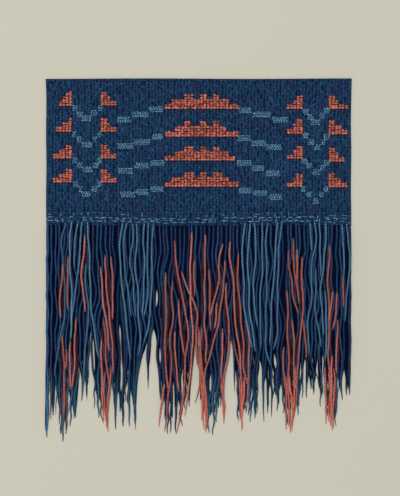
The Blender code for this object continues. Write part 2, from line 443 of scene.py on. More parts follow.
def coral_run(dice, rib, foot, length, count):
    """Coral stitches one above another in one rib, the lowest a little lighter as a painted highlight."""
    stitches = []
    for step in range(count):
        y = foot + (step + 0.5 + (dice.uniform(-CORAL_RISE, CORAL_RISE) if step else 0.0)) * length
        x = spread((rib + dice.uniform(-CORAL_SHIFT, CORAL_SHIFT)) * RIB_PITCH, y)
        half_wide = RIB_PITCH / 2 * dice.uniform(*CORAL_WIDTHS)
        half_long = length / 2 * dice.uniform(*CORAL_OVERLAPS)
        lean = dice.uniform(-CORAL_LEAN, CORAL_LEAN) * RIB_PITCH
        high = dice.uniform(*CORAL_HEIGHTS)
        shade = shade_near(dice, CORAL_SHADE if step else LOWEST_HIGHLIGHT_SHADE, SHADE_SPREAD)
        stitches.append((x, y, half_wide, half_long, high, lean, shade))
    return stitches


dice = random.Random(21)
ribs = range(-MIDDLE_RIB, MIDDLE_RIB + 1)
figure_spans = {rib: [] for rib in ribs}
coral_stitches = []
for foot_row, first_rib, stitch_mm, columns in FIGURES:
    foot = WEAVE_FOOT + foot_row * ROW_PITCH
    for step, column in enumerate(columns):
        length = stitch_mm * MM
        coral_stitches += coral_run(dice, first_rib + step, foot, length, int(column))
        figure_spans[first_rib + step].append((foot, foot + int(column) * length))

navy_stitches = []
for rib in ribs:
    y = WEAVE_FOOT - FOOT_OVERLAP
    for foot, head in sorted(figure_spans[rib]):
        navy_stitches += navy_run(dice, rib, y, foot - FIGURE_GAP)
        y = head
    navy_stitches += navy_run(dice, rib, y, top_y(rib * RIB_PITCH) - TOP_GAP)

# The first colour of each stitch wool is the painted shade in the hollows and gaps between stitches
stitch_navy = wool("stitch_navy", WEAVE_PAINTED_SHADE, dye(30, 61, 88), dye(36, 54, 89), NAVY_PAINTED_SHADE_RANGE)
stitch_coral = wool("stitch_coral", dye(110, 38, 30), dye(182, 100, 92), dye(174, 102, 80), CORAL_PAINTED_SHADE_RANGE)
navy_cloth = lay_stitches("navy_stitches", navy_stitches, NAVY_SQUARENESS, stitch_navy)
coral_cloth = lay_stitches("coral_stitches", coral_stitches, CORAL_SQUARENESS, stitch_coral)

# Light-blue floats: short lengths of smooth wool yarn that come up out of the weave, lie over its ribs and
# go down again. They step down from the coral figures in small blocks and join each repeat to the next.
FLOAT_TWIST = 4.0 * MM
FLOAT_POINTS = 7
FLOAT_HEIGHT = GROUND_HEIGHT + 0.72 * MM
FLOAT_DIP = 0.95 * MM
DIP_POWER = 3
SMOOTH_SIDES = 6
UP = np.array((0.0, 0.0, 1.0))

# Plies of a twisted yarn: their radius and their distance from its middle, as shares of the yarn's radius
PLY_RADIUS = 0.60
PLY_OFFSET = 0.44


def tube(line, radius, sides):
    """Points of a round tube ring by ring along a line, which never runs straight up."""
    along = np.gradient(line, axis=0)
    across = np.cross(along, UP)
    across /= np.linalg.norm(across, axis=1)[:, None]
    lift = np.cross(across, along)
    lift /= np.linalg.norm(lift, axis=1)[:, None]
    turns = np.arange(sides) * math.tau / sides
    ring = across[:, None, :] * np.cos(turns)[None, :, None] + lift[:, None, :] * np.sin(turns)[None, :, None]
    return line[:, None, :] + ring * radius[:, None, None], across, lift


def spin(name, yarns, plies, sides, twist, material):
    """Many yarns as one mesh; each is its line, the radius along it, its shade and its twist's start."""
    points, crown, shade, hue, faces = [], [], [], [], []
    start = 0
    for line, radius, own_shade, turn in yarns:
        steps = np.linalg.norm(np.diff(line, axis=0), axis=1)
        angle = turn + math.tau * np.concatenate(([0.0], np.cumsum(steps))) / twist
        _, across, lift = tube(line, radius, sides)
        for ply in range(plies):
            centre, own_radius = line, radius
            if plies > 1:
                where = angle + math.tau * ply / plies
                aside = across * np.cos(where)[:, None] + lift * np.sin(where)[:, None]
                centre = line + aside * (PLY_OFFSET * radius)[:, None]
                own_radius = PLY_RADIUS * radius
            rings, _, _ = tube(centre, own_radius, sides)
            # Crown: height across the yarn, low at its sides and underneath, where the wool's painted shade
            # darkens it
            high = (rings[:, :, 2] - line[:, None, 2]) / (2 * radius[:, None]) + 0.5
            points.append(rings.reshape(-1, 3))
            crown.append(np.clip(high, 0, 1).ravel())
            shade.append(np.full(rings.shape[0] * sides, own_shade))
            hue.append(np.full(rings.shape[0] * sides, turn / math.tau))
            count = len(line)
            for ring in range(count - 1):
                for side in range(sides):
                    here = start + ring * sides + side
                    beside = start + ring * sides + (side + 1) % sides
                    faces.append((here, beside, beside + sides, here + sides))
            faces.append(tuple(start + side for side in reversed(range(sides))))
            faces.append(tuple(start + (count - 1) * sides + side for side in range(sides)))
            start += count * sides
    mesh = bpy.data.meshes.new(name)
    mesh.from_pydata(np.concatenate(points).tolist(), [], faces)
    set_values(mesh, "crown", np.concatenate(crown))
    set_values(mesh, "shade", np.concatenate(shade))
    set_values(mesh, "hue", np.concatenate(hue))
    return finished(name, mesh, material)


def float_between(start, end, shade, radius):
    """A short length of yarn that comes up out of the cloth, lies over it and goes down again."""
    parts = np.linspace(0, 1, FLOAT_POINTS)
    line = np.zeros((FLOAT_POINTS, 3))
    line[:, 0] = start[0] + (end[0] - start[0]) * parts
    line[:, 1] = start[1] + (end[1] - start[1]) * parts
    line[:, 2] = FLOAT_HEIGHT - FLOAT_DIP * np.abs(2 * parts - 1) ** DIP_POWER
    return (line, np.full(FLOAT_POINTS, radius), shade, 0.0)


# Blocks of floats, one line for each repeat and side: first rib, last rib and lowest row of each
FLOAT_BLOCKS = (
    ((-39.5, -37.5, 39), (-38, -36, 36.5), (-36.5, -33.5, 35), (-33.5, -31.5, 37), (-31.5, -30, 39)),
    ((-39.5, -38, 29), (-38, -36.5, 27), (-36.5, -33, 25), (-33, -31.5, 27), (-31.5, -30, 29)),
    ((-39.5, -37.5, 19), (-38, -36, 17), (-36, -33, 15.5), (-33, -31, 17), (-31.5, -30, 19)),
    ((-39, -37.5, 10), (-37.5, -36, 8), (-36.5, -33.5, 6), (-33.5, -31.5, 8), (-31.5, -30, 10)),
    ((-25.5, -21, 34.5), (-21, -15.5, 36.5), (-15.5, -11, 38.5)),
    ((-25.5, -20, 24.5), (-20, -15, 26), (-14.5, -11, 28)),
    ((-25, -20.5, 15), (-20, -15.5, 17), (-15, -10.5, 18)),
    ((-24.5, -19.5, 6), (-19.5, -15.5, 7), (-15, -11, 8)),
    ((12.5, 16.5, 38), (17, 22.5, 36.5), (23, 28, 34.5)),
    ((12, 16.5, 27.5), (16.5, 21, 25.5), (21, 26, 24)),
    ((12, 16.5, 18), (16.5, 20.5, 16), (21, 25.5, 14)),
    ((12.5, 16.5, 7.5), (17, 21.5, 6.5), (22, 26, 5)),
    ((32.5, 34.5, 37.5), (34, 36, 35.5), (35, 38, 33.5), (37.5, 39.5, 36), (39, 41, 38)),
    ((32.5, 34.5, 28.5), (34, 36, 26), (36, 38, 24), (38, 39.5, 26), (39, 41, 28)),
    ((32, 34, 18.5), (33.5, 35.5, 17), (35.5, 38, 14.5), (37.5, 39.5, 16), (39, 41, 18)),
    ((32, 33.5, 8), (33.5, 35.5, 6), (35.5, 37.5, 3.5), (37.5, 39, 6), (39, 40.5, 8)),
)
BLOCK_COURSES = 4
BLOCK_RISE = 0.6 * MM
BLOCK_MARGIN = 0.2 * MM
COURSE_PITCH = 1.34 * MM
COURSE_SCATTER = 0.1 * MM
DASH_PITCH = 2.3 * MM
DASH_SHARES = (0.48, 0.78)
DASH_RADIUS = 0.48 * MM
DASH_TILT = 0.2 * MM
DASH_SHADES = (0.15, 0.95)
LAST_START = 0.7 * MM
SHORTEST_DASH = 0.6 * MM

dice = random.Random(5)
floats = []
for blocks in FLOAT_BLOCKS:
    for first, last, lowest_row in blocks:
        foot = WEAVE_FOOT + lowest_row * ROW_PITCH + BLOCK_RISE
        left = spread(first * RIB_PITCH, foot) + BLOCK_MARGIN
        right = spread(last * RIB_PITCH, foot) - BLOCK_MARGIN
        for course in range(BLOCK_COURSES):
            x = left - dice.uniform(0, 1) * DASH_PITCH
            while x < right - LAST_START:
                y = foot + course * COURSE_PITCH + dice.gauss(0, COURSE_SCATTER)
                start = max(x, left)
                end = min(x + DASH_PITCH * dice.uniform(*DASH_SHARES), right)
                tilt = dice.gauss(0, DASH_TILT)
                if end - start > SHORTEST_DASH:
                    shade = dice.uniform(*DASH_SHADES)
                    floats.append(float_between((start, y - tilt), (end, y + tilt), shade, DASH_RADIUS))
                x += DASH_PITCH

# The floats' first colour is the painted shade on their sides and where they dip into the cloth
sky_float_wool = wool("sky_floats", dye(30, 64, 92), dye(103, 149, 174), dye(104, 142, 177), (0.35, 0.85))
sky_cloth = spin("sky_floats", floats, 1, SMOOTH_SIDES, FLOAT_TWIST, sky_float_wool)

# Heading: the last 13 mm of the ribbed weave, which holds the fringe. It is sewn through with short running
# stitches of light-blue two-ply wool in uneven rows, and a few small upright ones between them.
HEADING_FOOT = 31.5 * MM
HEADING_OVERLAP = 0.9 * MM
# Its sheet is in the same painted shade of navy, darker than the stitches, for the gaps between them
band = ribbed_sheet("heading_band", HEADING_FOOT, CLOTH_FOOT, ground_painted_shade_wool)
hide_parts("fringe")

dice = random.Random(33)
heading_stitches = []
for rib in ribs:
    heading_stitches += navy_run(dice, rib, HEADING_FOOT, WEAVE_FOOT + HEADING_OVERLAP)
band_weave = lay_stitches("heading_stitches", heading_stitches, NAVY_SQUARENESS, stitch_navy)

# How far the fringe's yarns reach up over the heading (mm), at even steps from the left edge to the right
ROOT_REACH = (3.3, 3.4, 2.4, 1.3, 2.4, 3.1, 3.4, 1.9)


def root_reach(x):
    steps = np.linspace(-CLOTH_WIDTH / 2, CLOTH_WIDTH / 2, len(ROOT_REACH))
    return float(np.interp(x, steps, ROOT_REACH)) * MM


# Rows of running stitch: height above the fringe's yarns and the chance of a stitch at each place
RUNNING_ROWS = (
    (7.7 * MM, 0.224),
    (4.7 * MM, 0.84),
    (3.1 * MM, 0.196),
    (1.5 * MM, 0.784),
)
RUNNING_RADIUS = 0.46 * MM
RUNNING_SHADES = (0.2, 0.95)
PLY_SIDES = 5
FIRST_PLACE = 2 * MM
LAST_PLACE = 4 * MM
EDGE_CLEAR = 1 * MM
STITCH_LENGTHS = (3.2 * MM, 5.4 * MM)
STITCH_GAPS = (1.2 * MM, 3.0 * MM)
STITCH_SCATTER = 0.3 * MM
STITCH_SLANT = 0.22 * MM
UPRIGHT_SHARE = 0.42
UPRIGHT_LENGTHS = (1.8 * MM, 3.6 * MM)
UPRIGHT_DROP = 1.5 * MM
UPRIGHT_LEAN = 0.3 * MM
UPRIGHT_SHADES = (0.2, 0.8)

dice = random.Random(12)
running = []
for level, chance in RUNNING_ROWS:
    x = -CLOTH_WIDTH / 2 + FIRST_PLACE
    while x < CLOTH_WIDTH / 2 - LAST_PLACE:
        length = min(dice.uniform(*STITCH_LENGTHS), CLOTH_WIDTH / 2 - EDGE_CLEAR - x)
        y = HEADING_FOOT + root_reach(x) + level + dice.gauss(0, STITCH_SCATTER)
        drop = root_reach(x + length) - root_reach(x) + dice.gauss(0, STITCH_SLANT)
        if dice.random() < chance:
            ends = (x, y), (x + length, y + drop)
            running.append(float_between(*ends, dice.uniform(*RUNNING_SHADES), RUNNING_RADIUS))
        elif dice.random() < UPRIGHT_SHARE:
            low = y - UPRIGHT_DROP
            ends = (x, low), (x + dice.gauss(0, UPRIGHT_LEAN), low + dice.uniform(*UPRIGHT_LENGTHS))
            running.append(float_between(*ends, dice.uniform(*UPRIGHT_SHADES), RUNNING_RADIUS))
        x += length + dice.uniform(*STITCH_GAPS)
running_sewing = spin("running_stitches", running, 2, PLY_SIDES, FLOAT_TWIST, sky_float_wool)

# Navy fringe: long loose wool yarns that hang from the heading in two layers, smooth ones below, coloured
# # near black as painted shade, and ones of three plies above. They sway together and draw in to pointed
# # locks, with the floor in view between them.
UNDER_RADIUS = 1.45 * MM
UNDER_COUNT = 142
UNDER_STEP = 4.0 * MM
UNDER_KINKS = 0.4
OVER_RADIUS = 1.16 * MM
OVER_COUNT = 74
OVER_STEP = 1.7 * MM
OVER_LEVEL = 1.35 * MM
OVER_PHASE = 2.1
OVER_THICKNESSES = (0.85, 1.15)
OVER_SIDES = 4
NAVY_TWIST = 9.0 * MM
NAVY_YARN_SHADE = (0.5, 0.2)
EDGE_MARGIN = 2.5 * MM

# Where the twist of a yarn, or a wave along it, starts (radians)
TURNS = (0, 6)

# Roots in the heading and tips at the feet: shares of the full thickness or level there, and how soon it is
# reached
ROOT_SCATTER = 0.5 * MM
ROOT_LEVEL = 0.4
ROOT_RISE = 2.2 * MM
ROOT_SHARE = 0.7
ROOT_TAPER = 6.0 * MM
TIP_SHARE = 0.20
TIP_TAPER = 32.0 * MM
TIP_POWER = 0.55
SETTLE_LENGTH = 38.0 * MM

# Waves that the yarns share, which fade out at the root and at the two side edges
SWAY = (
    # amplitude, length down the yarn, length across the fringe
    (1.9 * MM, 74.0 * MM, 118.0 * MM),
    (0.9 * MM, 43.0 * MM, -67.0 * MM),
)
SWAY_FADE = 26.0 * MM
SIDE_CALM = 14.0 * MM

# Small bends of each yarn's own
KINKS = (
    # amplitude, shortest and longest length
    (0.45 * MM, 28.0 * MM, 52.0 * MM),
    (0.12 * MM, 11.0 * MM, 17.0 * MM),
)

# Waver of the thin feet: amplitude, length down the yarn, length across the fringe, and how far up it goes
FOOT_WAVER = (0.75 * MM, 19.0 * MM, 7.3 * MM)
FOOT_WAVER_REACH = 46.0 * MM

# How late a yarn turns to its foot and thins, how far it may stray from it, and between which two places (mm)
# the feet keep the dark of the fringe
DRAW_POWER = 4.0
FOOT_POWER = 3
SHORTER = (1.0 * MM, 22.0 * MM)
FOOT_SCATTER = 1.8 * MM
DARK_FEET = (-38.0, -10.0)

# Feet of the fringe from left to right: place across and depth below the heading (mm), and how thick
FEET = (
    (-139.0, 194, 1.0),
    (-135.5, 178, 0.8),
    (-132.5, 190, 1.0),
    (-130.8, 174, 0.5),
    (-127.5, 182, 0.8),
    (-124.6, 198, 1.0),
    (-121.2, 191, 0.8),
    (-117.2, 184, 1.0),
    (-113.5, 177, 1.0),
    (-107.2, 161, 0.7),
    (-102.3, 160, 0.5),
    (-95.8, 168, 0.8),
    (-91.5, 176, 1.0),
    (-88.5, 180, 0.9),
    (-84.5, 172, 0.8),
    (-76.6, 174, 0.9),
    (-71.0, 187, 1.0),
    (-69.0, 180, 0.6),
    (-63.6, 184, 1.1),
    (-57.2, 187, 0.6),
    (-51.6, 163, 0.5),
    (-46.2, 150, 0.7),
    (-34.6, 160, 1.0),
    (-31.5, 178, 0.9),
    (-28.2, 191, 0.9),
    (-25.0, 190, 0.8),
    (-21.4, 191, 1.1),
    (-16.0, 184, 0.9),
    (-12.5, 168, 0.8),
    (-7.0, 166, 1.0),
    (3.8, 142, 0.8),
    (6.2, 168, 0.8),
    (9.2, 190, 1.0),
    (13.6, 192, 1.2),
    (16.5, 180, 0.9),
    (21.5, 166, 0.8),
    (31.8, 152, 0.6),
    (36.5, 180, 0.5),
    (42.5, 172, 0.9),
    (47.5, 180, 0.9),
    (51.2, 177, 1.1),
    (54.5, 171, 0.7),
    (60.0, 180, 0.6),
    (64.5, 178, 0.5),
    (67.5, 160, 0.8),
    (72.6, 170, 1.0),
    (77.5, 172, 0.9),
    (79.8, 188, 1.0),
    (83.0, 176, 0.8),
    (91.0, 174, 1.0),
    (95.5, 158, 0.8),
    (99.6, 158, 1.0),
    (106.0, 155, 0.6),
    (112.2, 166, 1.0),
    (116.8, 174, 0.9),
    (120.0, 176, 0.9),
    (126.0, 184, 0.8),
    (128.6, 165, 0.7),
    (131.6, 160, 0.9),
    (138.0, 155, 1.0),
)

# Partings, where the floor shows between the yarns: first and last depth, places across at even steps
# between them, and half their width (mm); one that lasts to 200 stays open to the feet
PARTINGS = (
    (132, 200, (-107.6, -109.8, -110.2), 2.2),
    (138, 200, (-105.2, -104.8), 1.2),
    (93, 136, (-97.3, -96.5, -96.3), 0.8),
    (111, 148, (-100.2, -99.5, -98.0), 0.8),
    (137, 200, (-101.0, -99.5, -99.0), 2.6),
    (160, 200, (-79.8, -80.0), 1.6),
    (83, 150, (-72.3, -71.3, -70.8, -71.0), 0.2),
    (143, 200, (-73.8, -74.2), 1.6),
    (150, 200, (-66.2, -66.6), 1.0),
    (145, 200, (-61.5, -60.5), 1.0),
    (104, 200, (-47.0, -53.5, -54.5, -54.5), 2.4),
    (126, 200, (-47.2, -49.0), 1.6),
    (88, 200, (-41.5, -40.4), 4.8),
    (50, 74, (-38.0, -38.0), 0.4),
    (103, 128, (-36.0, -35.0), 0.6),
    (150, 200, (-33.0, -33.2), 0.9),
    (133, 190, (-22.9, -23.2), 0.5),
    (130, 158, (-15.8, -14.6), 0.6),
    (93, 200, (-0.6, -2.8, -2.4), 5.0),
    (128, 155, (11.2, 10.4), 0.8),
    (100, 200, (29.0, 27.3, 27.0), 6.0),
    (155, 200, (39.6, 39.6), 1.5),
    (120, 200, (57.0, 57.2), 1.8),
    (132, 200, (61.8, 62.2), 1.3),
    (138, 200, (66.0, 66.0), 0.9),
    (110, 132, (68.8, 71.0), 0.8),
    (150, 200, (70.0, 70.0), 1.5),
    (142, 200, (75.0, 75.2), 1.1),
    (126, 144, (83.6, 83.6), 0.6),
    (140, 200, (89.6, 87.6), 1.8),
    (146, 200, (93.2, 93.4), 0.9),
    (118, 200, (97.6, 97.4), 1.1),
    (133, 200, (100.8, 103.0), 2.4),
    (135, 200, (107.2, 109.0), 1.8),
    (148, 200, (114.4, 114.5), 1.0),
    (128, 152, (133.8, 132.8), 1.0),
    (145, 200, (134.8, 134.8), 2.0),
)
PARTING_SOFTNESS = 1.2 * MM
PARTING_REACH = 14.0 * MM
PARTING_EASE = 14 * MM
OPENING_SHARE = 0.6
OPENING_POWER = 0.7


def freedom(x):
    """How freely a yarn may sway: not at all at the two side edges, and fully a little way in."""
    return 1 - math.exp(-(((CLOTH_WIDTH / 2 - abs(x)) / SIDE_CALM) ** 2))


def sway(x, down, phase):
    """How far a yarn is carried sideways at each depth; neighbours move nearly together."""
    settle = 1 - np.exp(-((down / SWAY_FADE) ** 2))
    total = 0.0
    for amplitude, wave, across in SWAY:
        total = total + amplitude * np.sin(math.tau * (down / wave + x / across) + phase)
    return settle * freedom(x) * total


def through(places, part):
    """A smooth line through evenly spaced places, read where part runs from 0 to 1."""
    knots = np.array((2 * places[0] - places[1], *places, 2 * places[-1] - places[-2]))
    spot = np.clip(part, 0, 1) * (len(places) - 1)
    span = np.minimum(spot.astype(int), len(places) - 2)
    t = spot - span
    a, b, c, d = (knots[span + i] for i in range(4))
    return b + 0.5 * t * (c - a + t * (2 * a - 5 * b + 4 * c - d + t * (3 * (b - c) + d - a)))


def eased(value):
    value = np.clip(value, 0, 1)
    return value * value * (3 - 2 * value)


def taper(down, own):
    """Share of the yarn's thickness along its length, drawn out to a thin tip."""
    return TIP_SHARE + (1 - TIP_SHARE) * np.clip((own - down) / TIP_TAPER, 0, 1) ** TIP_POWER


def kinked(dice, down):
    """Small uneven bends along a yarn that has been worked and pulled."""
    total = 0.0
    for amplitude, shortest, longest in KINKS:
        wave = dice.uniform(shortest, longest)
        total = total + amplitude * np.sin(math.tau * down / wave + dice.uniform(*TURNS))
    return total


def parted(x, down, radius):
    """The yarn's course, moved to its own side of each parting near it."""
    for first_mm, last_mm, places, half_mm in PARTINGS:
        first = first_mm * MM
        last = last_mm * MM
        middle = through(places, (down - first) / (last - first)) * MM
        start = int(np.searchsorted(down, first))
        if start >= len(down) or abs(x[start] - middle[start]) > PARTING_REACH:
            continue
        side = 1.0 if x[start] > middle[start] else -1.0
        opened = np.clip((down - first) / (OPENING_SHARE * (last - first)), 0, 1) ** OPENING_POWER
        clear = half_mm * MM * opened + radius
        beyond = (side * (x - middle) - clear) / PARTING_SOFTNESS
        away = clear + PARTING_SOFTNESS * np.logaddexp(0, beyond)
        share = eased((down - first) / PARTING_EASE) * (1 - eased((down - last) / PARTING_EASE + 0.5))
        x = x + share * (middle + side * away - x)
    return x


def resting(down, own, level):
    """How far a yarn lies over the floor: up out of the heading, along its layer, and down to its tip."""
    return level * eased((own - down) / SETTLE_LENGTH) * eased(ROOT_LEVEL + (down - down[0]) / ROOT_RISE)


def navy_layer(count, thick, level, phase, seed, step):
    """One layer of loose navy yarns from edge to edge, each drawn to the foot nearest below it."""
    dice = random.Random(seed)
    feet_taken = set()
    span = CLOTH_WIDTH - 2 * (SIDE_WANDER + TOP_CORNER_FLARE) - EDGE_MARGIN
    yarns = []
    for index in range(count):
        scatter = dice.gauss(0, ROOT_SCATTER) if level and 0 < index < count - 1 else 0.0
        root = span * (index / (count - 1) - 0.5) + scatter
        tip_mm, depth_mm, thickness = min(FEET, key=lambda foot: abs(foot[0] * MM - root))
        strays = tip_mm in feet_taken or level == 0.0
        feet_taken.add(tip_mm)
        own = depth_mm * MM - (dice.uniform(*SHORTER) if strays else 0.0)
        tip = tip_mm * MM + (dice.gauss(0, FOOT_SCATTER) if strays else 0.0)
        reach = root_reach(root) + dice.gauss(0, ROOT_SCATTER)
        down = np.linspace(-reach, own, round((own + reach) / step))
        part = np.clip(down / (depth_mm * MM), 0, 1)
        at_foot = part**FOOT_POWER
        x = root + (tip - root) * part**DRAW_POWER
        x = x + (1 - at_foot) * sway(root, down, phase)
        x = x + kinked(dice, down) * np.clip(down / SWAY_FADE, 0, 1) * (1.0 if level else UNDER_KINKS)
        wide, long, across = FOOT_WAVER
        waver = wide * freedom(root) * np.sin(math.tau * (down / long + root / across))
        x = x + waver * eased(1 - (own - down) / FOOT_WAVER_REACH)
        thinning = (1 - (1 - thickness) * at_foot) * (dice.uniform(*OVER_THICKNESSES) if level else 1.0)
        rooted = ROOT_SHARE + (1 - ROOT_SHARE) * eased((down + reach) / ROOT_TAPER)
        radius = thick * thinning * rooted * taper(down, own)
        x = parted(x, down, radius)
        z = radius + resting(down, own, level)
        line = np.stack((x, HEADING_FOOT - down, z), axis=1)
        turn = dice.uniform(*TURNS) + (math.tau if DARK_FEET[0] < tip_mm < DARK_FEET[1] else 0.0)
        yarns.append((line, radius, shade_near(dice, *NAVY_YARN_SHADE), turn))
    return yarns


# Each wool's painted shade for its hollows, sides and gaps, its two tints, and the crown range of the painted
# shade
FRINGE_PAINTED_SHADE = dye(0, 6, 26)
# The under yarns' own tints are near black: painted shade under the upper layer
under_painted_shade_colours = (FRINGE_PAINTED_SHADE, dye(6, 17, 41), dye(7, 13, 39), (0.55, 1.0))
over_colours = (FRINGE_PAINTED_SHADE, dye(40, 79, 115), dye(48, 62, 106), (0.5, 0.95))
under_painted_shade_wool = wool("fringe_under_painted_shade", *under_painted_shade_colours, tips=(dye(12, 38, 64), dye(40, 84, 110)))
over_wool = wool("fringe_over", *over_colours, tips=(dye(22, 54, 82), dye(66, 116, 142)))
under_layer = navy_layer(UNDER_COUNT, UNDER_RADIUS, level=0.0, phase=0.0, seed=3, step=UNDER_STEP)
over_layer = navy_layer(OVER_COUNT, OVER_RADIUS, OVER_LEVEL, OVER_PHASE, seed=8, step=OVER_STEP)
under_yarns = spin("navy_yarns_under", under_layer, 1, SMOOTH_SIDES, NAVY_TWIST, under_painted_shade_wool)
over_yarns = spin("navy_yarns_over", over_layer, 3, OVER_SIDES, NAVY_TWIST, over_wool)

# Light-blue and coral fringe: twisted wool yarns laid over the navy ones. The light-blue ones leave the
# # heading in view, and the coral ones come up between the navy yarns lower down, with smooth coral ones
# below
# # them in a dark red-brown that is painted shade. The longest end in tips of their own.
SKY_RADIUS = 1.10 * MM
CORAL_RADIUS = 1.05 * MM
DEEP_RADIUS = 1.10 * MM
DEEP_LEVEL = 1.4 * MM
SKY_TWIST = 5.0 * MM
CORAL_TWIST = 10.0 * MM
SKY_STEP = 0.62 * MM
CORAL_STEP = 1.2 * MM
DEEP_STEP = 2.5 * MM
COLOURED_LEVEL = 2.75 * MM
COLOURED_KINKS = 0.7
COLOURED_SHADE = (0.5, 0.15)

# Ends: a yarn that starts less than this far down (mm) comes out of the heading, tucked up into it, and one
# that ends further down than this has a tip of its own; any other end lies hidden, thin and low
FROM_HEADING = 3
TUCKED_UP = (1.4 * MM, 3.4 * MM)
TIP_DEPTH = 155.0
COME_UP = 12.0 * MM
HEADING_COME_UP = COME_UP / 4
HIDDEN_END = 5.0 * MM
THIN_END = 0.2
START_LEVEL = 0.35
END_LEVEL = 0.3

# Light-blue yarns: where each comes up and ends below the heading, then its places across, evenly spaced (mm)
SKY_YARNS = (
    (-4, 137, (-121, -125.5, -123.5, -122.5, -122.5, -126, -130, -132)),
    (-4, 104, (-116, -118, -117.5, -116, -116.5, -117)),
    (-4, 40, (-109.5, -113, -114, -113)),
    (-9, 95, (-106, -108.5, -109.5, -112.5, -115.5, -117)),
    (-5, 121, (-102, -100.5, -99.5, -99, -97.5, -94, -91.5)),
    (33, 161, (-103, -103.5, -101, -102, -104, -105.5, -107)),
    (-6, 124, (-69.5, -72, -71.5, -69, -66.5, -64, -62.5)),
    (-4, 83, (-65.5, -68.5, -67, -64, -60.5)),
    (-3, 83, (-61, -60, -63, -59.5, -59, -57)),
    (-2, 119, (-57, -56.5, -58, -55.5, -55, -53.5, -55.5)),
    (-4, 85, (-50, -50.5, -49.5, -50, -51, -51)),
    (0, 84, (-45.5, -47, -46.5, -47, -50.5)),
    (-1, 108, (-40.5, -43, -42.5, -43, -44, -46.5, -51)),
    (-1, 113, (43, 40, 40.5, 41.5, 42, 46, 51)),
    (-4, 115, (47, 46, 44.5, 46.5, 46.5, 50, 53)),
    (-4, 94, (50.5, 52.5, 51.5, 50, 52, 54.5)),
    (-2, 113, (58.5, 58, 58.5, 57, 56, 57, 56.5)),
    (-3, 128, (63.5, 61.5, 62.5, 62, 61.5, 61.5, 67)),
    (-4, 109, (72, 71, 69.5, 68.5, 66.5, 66, 65.5)),
    (0, 113, (76.5, 74, 73, 72.5, 72, 72, 67.5)),
    (-1, 25, (102, 103, 103.5)),
    (-1, 119, (106, 107.5, 104, 103.5, 103, 100, 100.5, 101)),
    (38, 111, (107.5, 107.5, 106.5, 110, 112.5)),
    (-1, 47, (110.5, 111, 111.5, 111.5)),
    (-1, 101, (116.5, 116, 114, 111.5, 113.5, 114.5)),
    (59, 124, (114.5, 116.5, 117, 116.5, 116)),
    (-2, 45, (131, 132, 133.5, 132.5)),
    (0, 88, (134.7, 137, 138.6, 137.5, 136, 134.5, 133.2)),
)

